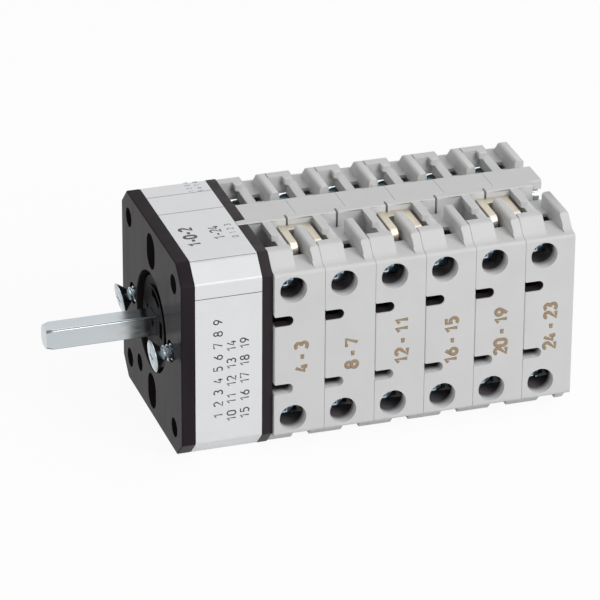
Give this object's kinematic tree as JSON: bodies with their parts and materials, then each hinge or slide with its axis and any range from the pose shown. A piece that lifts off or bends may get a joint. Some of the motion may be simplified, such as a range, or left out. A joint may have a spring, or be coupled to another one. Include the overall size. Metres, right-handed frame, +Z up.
{
  "type": "cam switch",
  "caption": "Rear-mounted rotary cam switch body with a square drive shaft, a drilled front plate, an indexing housing and a stack of contact decks with screw terminals.",
  "frame": {"origin": "on the shaft axis, at the front face of the plate", "axes": "+X along the shaft towards the rear deck, +Y from the numbered side to the other side, +Z up; the shaft points along -X"},
  "size_m": [0.1179, 0.05, 0.048],
  "materials": {
    "black_plastic": "satin black moulding with a soft sheen",
    "label": "smooth silver-white film label",
    "grey_plastic": "fine matt light grey moulding",
    "zinc_steel": "bright bluish zinc plating",
    "nickel_steel": "plated, slightly blue-green",
    "spring_steel": "drawn wire",
    "nylon": "natural nylon",
    "dark_plastic": "matt dark moulding",
    "contact_copper": "bright copper with silver buttons",
    "brass": "stamped brass",
    "tinned_brass": "pale gold stamped sheet"
  },
  "bodies": {
    "frame": {"front_plate": "black_plastic", "indexing_housing": "black_plastic", "label_band": "label", "rear_flange": "black_plastic", "side_screws": "zinc_steel", "deck_1": "grey_plastic", "deck_2": "grey_plastic", "deck_3": "grey_plastic", "deck_4": "grey_plastic", "deck_5": "grey_plastic", "deck_6": "grey_plastic", "fixed_contacts": "brass", "terminal_screws": "nickel_steel", "saddle_clamps": "nickel_steel", "link_1_2": "tinned_brass", "link_3_4": "tinned_brass", "link_5_6": "tinned_brass", "tie_rods": "zinc_steel", "tie_rod_inserts": "brass", "detent_spring_near": "spring_steel", "detent_spring_far": "spring_steel", "return_springs_near": "spring_steel", "return_springs_far": "spring_steel"},
    "rotor": {"shaft": "zinc_steel", "rotor_hub": "black_plastic", "star_wheel": "nylon", "cam_1": "nylon", "cam_2": "nylon", "cam_3": "nylon", "cam_4": "nylon", "cam_5": "nylon", "cam_6": "nylon"},
    "detent_near": {"detent_plunger_near": "nylon"},
    "contact_near_1": {"plunger_near_1": "dark_plastic", "bridge_near_1": "contact_copper"},
    "contact_near_2": {"plunger_near_2": "dark_plastic", "bridge_near_2": "contact_copper"},
    "contact_near_3": {"plunger_near_3": "dark_plastic", "bridge_near_3": "contact_copper"},
    "contact_near_4": {"plunger_near_4": "dark_plastic", "bridge_near_4": "contact_copper"},
    "contact_near_5": {"plunger_near_5": "dark_plastic", "bridge_near_5": "contact_copper"},
    "contact_near_6": {"plunger_near_6": "dark_plastic", "bridge_near_6": "contact_copper"},
    "detent_far": {"detent_plunger_far": "nylon"},
    "contact_far_1": {"plunger_far_1": "dark_plastic", "bridge_far_1": "contact_copper"},
    "contact_far_2": {"plunger_far_2": "dark_plastic", "bridge_far_2": "contact_copper"},
    "contact_far_3": {"plunger_far_3": "dark_plastic", "bridge_far_3": "contact_copper"},
    "contact_far_4": {"plunger_far_4": "dark_plastic", "bridge_far_4": "contact_copper"},
    "contact_far_5": {"plunger_far_5": "dark_plastic", "bridge_far_5": "contact_copper"},
    "contact_far_6": {"plunger_far_6": "dark_plastic", "bridge_far_6": "contact_copper"}
  },
  "joints": [
    {"name": "shaft_turn", "type": "hinge", "parent": "frame", "child": "rotor", "pos_m": [0, 0, 0], "axis": [1, 0, 0], "range_deg": [-60, 60]},
    {"name": "detent_slide_near", "type": "slide", "parent": "frame", "child": "detent_near", "axis": [0, -1, 0], "range_m": [-0.00125, 0], "deforming": ["detent_spring_near"]},
    {"name": "contact_slide_near_1", "type": "slide", "parent": "frame", "child": "contact_near_1", "axis": [0, -1, 0], "range_m": [-0.00121, 0.00121], "deforming": ["return_springs_near"]},
    {"name": "contact_slide_near_2", "type": "slide", "parent": "frame", "child": "contact_near_2", "axis": [0, -1, 0], "range_m": [-0.00121, 0.00121]},
    {"name": "contact_slide_near_3", "type": "slide", "parent": "frame", "child": "contact_near_3", "axis": [0, -1, 0], "range_m": [-0.00121, 0.00121]},
    {"name": "contact_slide_near_4", "type": "slide", "parent": "frame", "child": "contact_near_4", "axis": [0, -1, 0], "range_m": [-0.00121, 0.00121]},
    {"name": "contact_slide_near_5", "type": "slide", "parent": "frame", "child": "contact_near_5", "axis": [0, -1, 0], "range_m": [-0.00121, 0.00121]},
    {"name": "contact_slide_near_6", "type": "slide", "parent": "frame", "child": "contact_near_6", "axis": [0, -1, 0], "range_m": [-0.00121, 0.00121]},
    {"name": "detent_slide_far", "type": "slide", "parent": "frame", "child": "detent_far", "axis": [0, 1, 0], "range_m": [-0.00125, 0], "deforming": ["detent_spring_far"]},
    {"name": "contact_slide_far_1", "type": "slide", "parent": "frame", "child": "contact_far_1", "axis": [0, 1, 0], "range_m": [-0.00121, 0.00121], "deforming": ["return_springs_far"]},
    {"name": "contact_slide_far_2", "type": "slide", "parent": "frame", "child": "contact_far_2", "axis": [0, 1, 0], "range_m": [-0.00121, 0.00121]},
    {"name": "contact_slide_far_3", "type": "slide", "parent": "frame", "child": "contact_far_3", "axis": [0, 1, 0], "range_m": [-0.00121, 0.00121]},
    {"name": "contact_slide_far_4", "type": "slide", "parent": "frame", "child": "contact_far_4", "axis": [0, 1, 0], "range_m": [-0.00121, 0.00121]},
    {"name": "contact_slide_far_5", "type": "slide", "parent": "frame", "child": "contact_far_5", "axis": [0, 1, 0], "range_m": [-0.00121, 0.00121]},
    {"name": "contact_slide_far_6", "type": "slide", "parent": "frame", "child": "contact_far_6", "axis": [0, 1, 0], "range_m": [-0.00121, 0.00121]}
  ],
  "couplings": [
    {"joint": "contact_slide_near_1", "follows": "shaft_turn", "m_per_rad": -0.0011459},
    {"joint": "contact_slide_near_2", "follows": "shaft_turn", "m_per_rad": 0.0011459},
    {"joint": "contact_slide_near_3", "follows": "shaft_turn", "m_per_rad": -0.0011459},
    {"joint": "contact_slide_near_4", "follows": "shaft_turn", "m_per_rad": 0.0011459},
    {"joint": "contact_slide_near_5", "follows": "shaft_turn", "m_per_rad": -0.0011459},
    {"joint": "contact_slide_near_6", "follows": "shaft_turn", "m_per_rad": 0.0011459},
    {"joint": "contact_slide_far_1", "follows": "shaft_turn", "m_per_rad": -0.0011459},
    {"joint": "contact_slide_far_2", "follows": "shaft_turn", "m_per_rad": 0.0011459},
    {"joint": "contact_slide_far_3", "follows": "shaft_turn", "m_per_rad": -0.0011459},
    {"joint": "contact_slide_far_4", "follows": "shaft_turn", "m_per_rad": 0.0011459},
    {"joint": "contact_slide_far_5", "follows": "shaft_turn", "m_per_rad": -0.0011459},
    {"joint": "contact_slide_far_6", "follows": "shaft_turn", "m_per_rad": 0.0011459}
  ]
}
